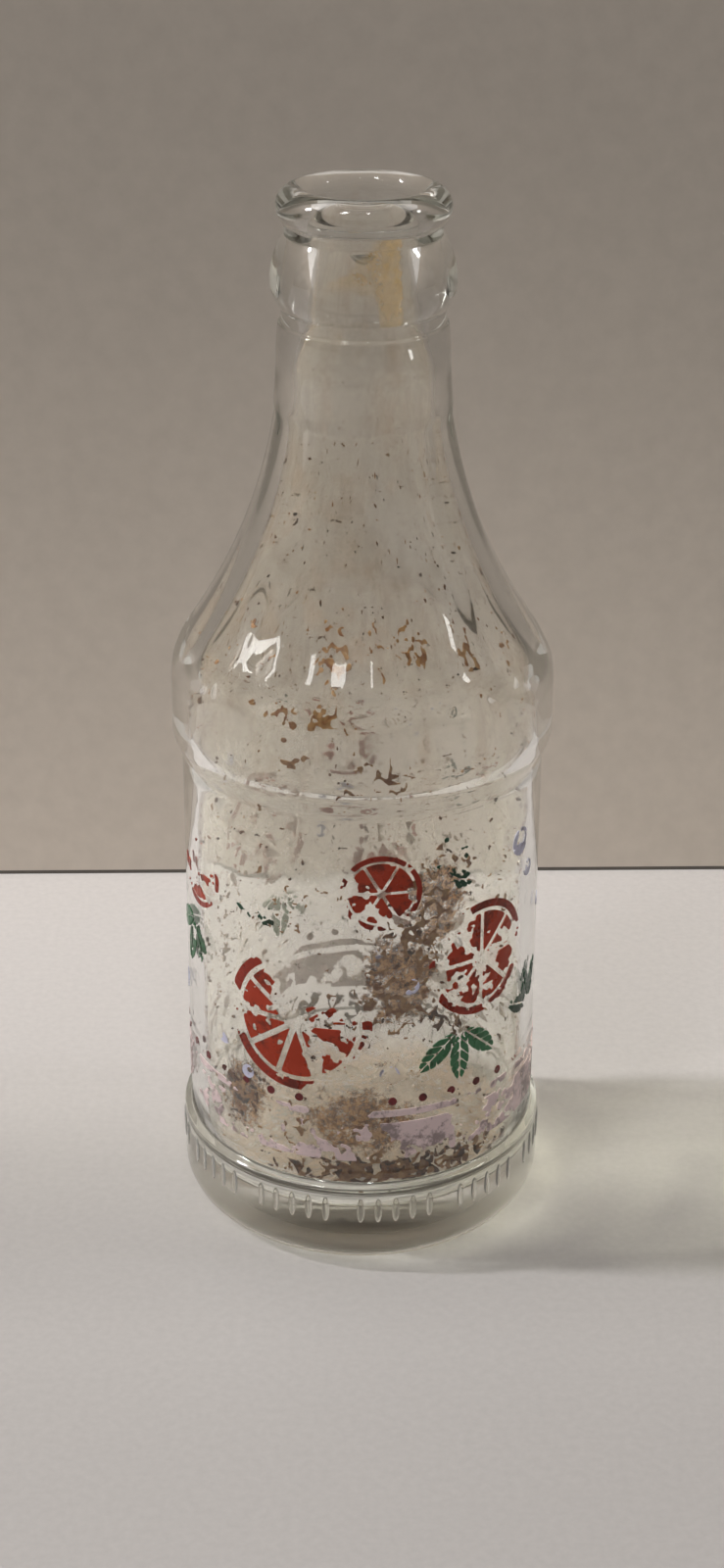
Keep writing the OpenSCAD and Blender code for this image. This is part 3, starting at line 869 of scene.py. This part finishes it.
def mark_tree(name):
    """Node tree for a ring of small raised ribs in groups, as moulded on a bottle's heel."""
    tree = bpy.data.node_groups.new(name, "GeometryNodeTree")
    face = tree.interface
    face.new_socket("Geometry", in_out="INPUT", socket_type="NodeSocketGeometry")
    for label, kind in (("Count", "NodeSocketInt"), ("Group", "NodeSocketInt"), ("Radius", "NodeSocketFloat"),
                        ("Height", "NodeSocketFloat"), ("Rib long", "NodeSocketFloat"),
                        ("Rib wide", "NodeSocketFloat"), ("Rib proud", "NodeSocketFloat"),
                        ("Material", "NodeSocketMaterial")):
        face.new_socket(label, in_out="INPUT", socket_type=kind)
    face.new_socket("Geometry", in_out="OUTPUT", socket_type="NodeSocketGeometry")
    start = tree.nodes.new("NodeGroupInput")
    end = tree.nodes.new("NodeGroupOutput")
    ask = start.outputs

    points = node(tree, "GeometryNodePoints", {"Count": ask["Count"]})
    index = node(tree, "GeometryNodeInputIndex").outputs[0]
    turn = maths(tree, "DIVIDE", maths(tree, "MULTIPLY", index, TAU), ask["Count"])
    x = maths(tree, "MULTIPLY", maths(tree, "SINE", turn), ask["Radius"])
    y = maths(tree, "MULTIPLY", maths(tree, "COSINE", turn), maths(tree, "MULTIPLY", ask["Radius"], -1.0))
    place = node(tree, "ShaderNodeCombineXYZ", {"X": x, "Y": y, "Z": ask["Height"]})
    put = node(tree, "GeometryNodeSetPosition", {"Geometry": points.outputs[0], "Position": place.outputs[0]})
    last = maths(tree, "SUBTRACT", ask["Group"], 1.0)
    order = maths(tree, "MODULO", index, ask["Group"])
    gap = maths(tree, "GREATER_THAN", order, maths(tree, "SUBTRACT", last, 0.5))
    kept = node(tree, "GeometryNodeDeleteGeometry", {"Geometry": put.outputs[0], "Selection": gap},
                domain="POINT")

    ball = node(tree, "GeometryNodeMeshUVSphere", {"Segments": 12, "Rings": 8, "Radius": 1.0})
    spot = node(tree, "ShaderNodeSeparateXYZ", {"Vector": node(tree, "GeometryNodeInputPosition").outputs[0]})
    front = maths(tree, "MINIMUM", spot.outputs["Y"], 0.0)
    flat = node(tree, "ShaderNodeCombineXYZ", {"X": spot.outputs["X"], "Y": front, "Z": spot.outputs["Z"]})
    size = node(tree, "ShaderNodeCombineXYZ", {"X": maths(tree, "MULTIPLY", ask["Rib wide"], 0.5),
                                               "Y": ask["Rib proud"],
                                               "Z": maths(tree, "MULTIPLY", ask["Rib long"], 0.5)})
    sized = node(tree, "ShaderNodeVectorMath", {0: flat.outputs[0], 1: size.outputs[0]}, operation="MULTIPLY")
    rib = node(tree, "GeometryNodeSetPosition",
               {"Geometry": ball.outputs["Mesh"], "Position": sized.outputs[0]})
    facing = maths(tree, "ARCTAN2", spot.outputs["X"], maths(tree, "MULTIPLY", spot.outputs["Y"], -1.0))
    spin = node(tree, "ShaderNodeCombineXYZ", {"Z": facing})
    ribs = node(tree, "GeometryNodeInstanceOnPoints", {"Points": kept.outputs[0], "Instance": rib.outputs[0],
                                                      "Rotation": spin.outputs[0]})
    real = node(tree, "GeometryNodeRealizeInstances", {"Geometry": ribs.outputs[0]})
    done = node(tree, "GeometryNodeSetMaterial", {"Geometry": real.outputs[0], "Material": ask["Material"]})
    tree.links.new(done.outputs[0], end.inputs[0])
    return tree


def from_nodes(name, tree, values):
    """A plain mesh piece made by a geometry tree with these inputs."""
    seed = bpy.data.objects.new(name + "_seed", bpy.data.meshes.new(name + "_seed"))
    bpy.context.scene.collection.objects.link(seed)
    modifier = seed.modifiers.new("nodes", "NODES")
    modifier.node_group = tree
    for item in tree.interface.items_tree:
        if item.in_out == "INPUT" and item.name in values:
            modifier[item.identifier] = values[item.name]
    seed.update_tag()
    bpy.context.view_layer.update()
    graph = bpy.context.evaluated_depsgraph_get()
    mesh = bpy.data.meshes.new_from_object(seed.evaluated_get(graph), depsgraph=graph)
    bpy.data.objects.remove(seed)
    if not mesh.polygons:
        raise RuntimeError(name + " came out empty")
    mesh.name = name
    mesh.shade_smooth()
    mesh.set_sharp_from_angle(angle=math.radians(50))
    obj = bpy.data.objects.new(name, mesh)
    bpy.context.scene.collection.objects.link(obj)
    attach(obj, BODY)
    return obj


class BOTTLE_OT_heel_marks(bpy.types.Operator):
    """Mould small plain ribs in groups round the heel belt"""
    bl_idname = "bottle.heel_marks"
    bl_label = "Heel ribs"

    def execute(self, context):
        s = context.scene.bottle_shape
        marks = from_nodes("heel_ribs", mark_tree("Heel ribs"), {
            "Count": 66, "Group": 6, "Radius": s.heel_r + 0.005 * MM, "Height": 12 * MM, "Rib long": 4.6 * MM,
            "Rib wide": 1.3 * MM, "Rib proud": 0.22 * MM,
            "Material": bpy.data.materials["Clear bottle glass"]})
        return {"FINISHED"}


class BOTTLE_OT_print(bpy.types.Operator):
    """Fire on the print, a layer for each colour, with what has flaked off left out"""
    bl_idname = "bottle.print"
    bl_label = "Print"

    def execute(self, context):
        shape, s = context.scene.bottle_shape, context.scene.bottle_print
        cell = 0.30 * MM
        thetas = np.linspace(-math.pi, math.pi, int(TAU * shape.panel_r / cell), endpoint=False)
        heights = np.arange(20 * MM, 82 * MM, cell)
        theta, z = np.meshgrid(thetas, heights)
        art = print_fields(theta, z, shape.panel_r)
        left = wear_field(theta, z, shape.panel_r, s)
        finishes = {"lilac_band": ("lilac_enamel", s.lilac),
                    "lilac_bubbles": ("pale_lilac_enamel", s.pale_lilac),
                    "red_slices": ("orange_red_enamel", s.red), "red_rinds": ("deep_red_enamel", s.rind),
                    "maroon_pips": ("maroon_enamel", s.maroon), "green_leaves": ("green_enamel", s.green),
                    "dark_leaves": ("dark_green_enamel", s.dark_green)}
        for k, (name, (slot, base)) in enumerate(finishes.items()):
            skin = enamel_material(name.replace("_", " "), tuple(base), 10 * k)
            piece = patch_piece("worn_" + name, np.minimum(art[name], left), thetas, heights,
                                lambda z: shape.panel_r + 0 * z, -s.sunk, s.thick, skin)
            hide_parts(name)
        return {"FINISHED"}


class BOTTLE_OT_residue(bpy.types.Operator):
    """Dry the last of the drink on to the inside: film, stain, flakes and crumbs"""
    bl_idname = "bottle.residue"
    bl_label = "Dried residue"

    def execute(self, context):
        shape, s = context.scene.bottle_shape, context.scene.bottle_residue
        wall = inside_outline(shape)[::-1]
        heights = np.array([p[1] for p in wall])
        radii = np.array([p[0] for p in wall])
        rising = np.concatenate([[True], np.diff(heights) > 1e-7])

        def inner(z):
            return np.interp(z, heights[rising], radii[rising])

        gap = shape.ripple + 0.55 * MM
        film = [p for p in subdivide(wall, 3 * MM) if p[1] < shape.height - shape.mouth_round]
        outer = [(max(p[0] - gap, 0), p[1] + (gap if p[0] < shape.panel_r - 6 * MM and p[1] < 20 * MM else 0))
                 for p in film]
        inner_side = [(max(p[0] - 0.03 * MM, 0), p[1] + (0.03 * MM if p[1] < 20 * MM else 0)) for p in outer]
        columns = 120
        rows = outer + inner_side[::-1]
        vertices, faces = revolve(rows, columns, 0, lambda theta, r, z, k: on_wall(theta, r, z))
        haze = add_piece("dried_haze", vertices, faces, haze_material(s))
        haze.data.materials.append(bare_material())
        side = np.zeros(len(faces), dtype=np.int32)
        side[columns * (len(outer) - 2):] = 1
        side[-2 * columns:-columns] = 0
        haze.data.polygons.foreach_set("material_index", side)

        cell = 0.26 * MM
        thetas = np.linspace(-math.pi, math.pi, int(TAU * shape.panel_r / cell), endpoint=False)
        heights_up = np.arange(shape.floor_t + 3 * MM, 134 * MM, cell)
        theta, z = np.meshgrid(thetas, heights_up)
        r = shape.panel_r - shape.wall
        brown_skin = crust_material("Brown crust", s.brown, tuple(0.55 * c for c in s.tan), 3)
        dark_skin = crust_material("Dark crumbs", s.dark, tuple(0.7 * c for c in s.brown), 9)
        layers = (("brown_crust", CRUST_PATCHES, 0.66, 0.16, brown_skin),
                  ("dark_crumbs", DARK_PATCHES, 0.66, 0.30, dark_skin))
        for k, (name, patches, bare, thick, skin) in enumerate(layers):
            field = crust_field(theta, z, r, patches, s.seed + 100 * k, bare)

            def lump(t, h, thick=thick, k=k):
                return -thick * MM * wall_noise(t, h, r, 1.1 * MM, s.seed + 7 + k, 2)

            back = -shape.ripple - 0.02 * MM - 0.04 * MM * k
            patch_piece(name, field, thetas, heights_up, inner, back, back - 0.07 * MM, skin, lump)
        return {"FINISHED"}


def one_sided(tree, out, shader):
    """Joins a shader to the output on the front alone, so that a camera behind sees through."""
    behind = node(tree, "ShaderNodeNewGeometry").outputs["Backfacing"]
    clear = node(tree, "ShaderNodeBsdfTransparent")
    mix = node(tree, "ShaderNodeMixShader", {0: behind, 1: shader, 2: clear.outputs[0]})
    tree.links.new(mix.outputs[0], out.inputs["Surface"])


def stage_sheet(name, corners, skin):
    """A flat sheet of the stage."""
    mesh = bpy.data.meshes.new(name)
    mesh.from_pydata(corners, [], [list(range(len(corners)))])
    mesh.materials.append(skin)
    obj = bpy.data.objects.new(name, mesh)
    bpy.context.scene.collection.objects.link(obj)
    return obj


def lamp(name, place, target, size, power):
    """A square soft lamp that faces a point."""
    data = bpy.data.lights.new(name, "AREA")
    data.shape = "RECTANGLE"
    data.size, data.size_y = size
    data.energy = power
    obj = bpy.data.objects.new(name, data)
    obj.location = place
    obj.rotation_euler = (Vector(target) - Vector(place)).to_track_quat("-Z", "Y").to_euler()
    bpy.context.scene.collection.objects.link(obj)
    return obj


class BOTTLE_OT_stage(bpy.types.Operator):
    """Set the floor, the backdrop, the soft lamps and the camera"""
    bl_idname = "bottle.stage"
    bl_label = "Stage"

    def execute(self, context):
        s = context.scene.bottle_stage
        scene = context.scene
        # Painted shade: the floor is painted darker towards the front and the backdrop darker towards the
        # top, where the light falls off, between the tones bright and dim.
        for name, base, rough, grain, axis, bright, dim in (
                ("Floor", s.floor_colour, 0.6, 700, "Y", 0.10, (-0.09, 0.70)),
                ("Backdrop", s.wall_colour, 0.8, 250, "Z", 0.0, (0.18, 0.66))):
            made, tree, out, main = material(name)
            place = place_of(tree)
            speckle = between(tree, noise(tree, place, grain, 3), 0.3, 0.7, 0.93, 1.0, smooth=False)
            along = node(tree, "ShaderNodeSeparateXYZ", {"Vector": place}).outputs[axis]
            low, high = sorted([(bright, 1.0), dim])
            painted_shade = between(tree, along, low[0], high[0], low[1], high[1])
            # Painted shadow: a band across the whole floor, centred 14 mm in front of the axis, is painted up
            # to 12 percent darker.
            if name == "Floor":
                off = maths(tree, "ABSOLUTE", maths(tree, "ADD", along, 14 * MM))
                painted_shade = maths(tree, "MULTIPLY", painted_shade, between(tree, off, 12 * MM, 40 * MM, 0.88, 1.0))
            tone = node(tree, "ShaderNodeVectorMath", {0: tuple(base)}, operation="SCALE")
            tree.links.new(maths(tree, "MULTIPLY", speckle, painted_shade), tone.inputs["Scale"])
            tree.links.new(tone.outputs[0], main.inputs["Base Color"])
            main.inputs["Roughness"].default_value = rough
            one_sided(tree, out, main.outputs[0])
        half, tall = 1.6, 1.4
        near, far = s.wall_gap - s.wall_slant * half, s.wall_gap + s.wall_slant * half
        stage_sheet("floor", [(-half, -half, 0), (half, -half, 0), (half, half, 0), (-half, half, 0)],
                    bpy.data.materials["Floor"])
        stage_sheet("backdrop", [(-half, near, 0), (half, far, 0), (half, far, tall), (-half, near, tall)],
                    bpy.data.materials["Backdrop"])
        # Painted shade: a dark sheet along the backdrop's foot stands in for the shade where the backdrop
        # meets the floor.
        made, tree, out, main = material("Painted shade strip")
        main.inputs["Base Color"].default_value = (0.10, 0.088, 0.075, 1)
        one_sided(tree, out, main.outputs[0])
        near, far, top = near - 0.2 * MM, far - 0.2 * MM, 0.8 * MM
        stage_sheet("gap", [(-half, near, 0), (half, far, 0), (half, far, top), (-half, near, top)], made)
        middle = (0, 0, 0.09)
        lamp("left", (-1.05, 0.0, 0.95), middle, (0.07, 0.22), s.key_power)
        lamp("right", (1.10, -0.10, 0.85), middle, (0.12, 0.20), 0.14 * s.key_power)
        lamp("front left", (-0.42, -0.60, 1.20), middle, (0.12, 0.26), 0.2 * s.key_power)
        lamp("front right", (0.12, -0.80, 1.30), middle, (0.05, 0.20), 0.15 * s.key_power)

        world = bpy.data.worlds.new("Soft surround")
        scene.world = world
        world.use_nodes = True
        tree = world.node_tree
        tree.nodes.clear()
        out = tree.nodes.new("ShaderNodeOutputWorld")
        ways = node(tree, "ShaderNodeTexCoord").outputs["Generated"]
        up = node(tree, "ShaderNodeSeparateXYZ", {"Vector": ways})
        ceiling = between(tree, up.outputs["Z"], -0.1, 0.8)
        tone = blend_colour(tree, ceiling, (0.74, 0.71, 0.66), (1.0, 0.985, 0.96))
        room = between(tree, noise(tree, ways, 3.0, 1, seed=5), 0.40, 0.60, 0.12, 1.7)
        seen = node(tree, "ShaderNodeLightPath").outputs["Is Camera Ray"]
        strength = maths(tree, "MAXIMUM", maths(tree, "MULTIPLY", room, s.fill_power),
                         maths(tree, "MULTIPLY", seen, 0.45))
        back = node(tree, "ShaderNodeBackground", {"Color": tone, "Strength": strength})
        tree.links.new(back.outputs[0], out.inputs["Surface"])

        camera = bpy.data.cameras.new("camera")
        camera.lens = s.lens_mm
        camera.sensor_width = 36
        eye = bpy.data.objects.new("camera", camera)
        tilt = Matrix.Rotation(math.pi / 2 - s.camera_tilt, 4, "X")
        eye.matrix_world = (Matrix.Translation((0, -s.camera_back, s.camera_up)) @ tilt
                            @ Matrix.Rotation(s.camera_roll, 4, "Z"))
        scene.collection.objects.link(eye)
        scene.camera = eye
        scene.view_settings.view_transform = "Standard"
        return {"FINISHED"}


OPERATORS = (BOTTLE_OT_glass, BOTTLE_OT_heel_marks, BOTTLE_OT_print, BOTTLE_OT_residue, BOTTLE_OT_stage)


class BOTTLE_PT_panel(bpy.types.Panel):
    """Lists the steps that build the bottle"""
    bl_idname = "BOTTLE_PT_panel"
    bl_label = "Bottle"
    bl_space_type = "VIEW_3D"
    bl_region_type = "UI"
    bl_category = "Bottle"

    def draw(self, context):
        for step in OPERATORS:
            self.layout.operator(step.bl_idname)
        for name in GROUPS:
            box = self.layout.box()
            settings = getattr(context.scene, name)
            for key in settings.__annotations__:
                box.prop(settings, key)


CLASSES = (*GROUPS.values(), *OPERATORS, BOTTLE_PT_panel)


def register():
    """Adds the classes and the scene's settings."""
    for cls in CLASSES:
        bpy.utils.register_class(cls)
    for name, group in GROUPS.items():
        setattr(bpy.types.Scene, name, PointerProperty(type=group))


def unregister():
    """Takes them away again."""
    for name in GROUPS:
        delattr(bpy.types.Scene, name)
    for cls in reversed(CLASSES):
        bpy.utils.unregister_class(cls)


def main():
    """Builds the whole scene."""
    register()
    for step in OPERATORS:
        group, name = step.bl_idname.split(".")
        getattr(getattr(bpy.ops, group), name)()
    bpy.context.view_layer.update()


if __name__ == "__main__":
    main()
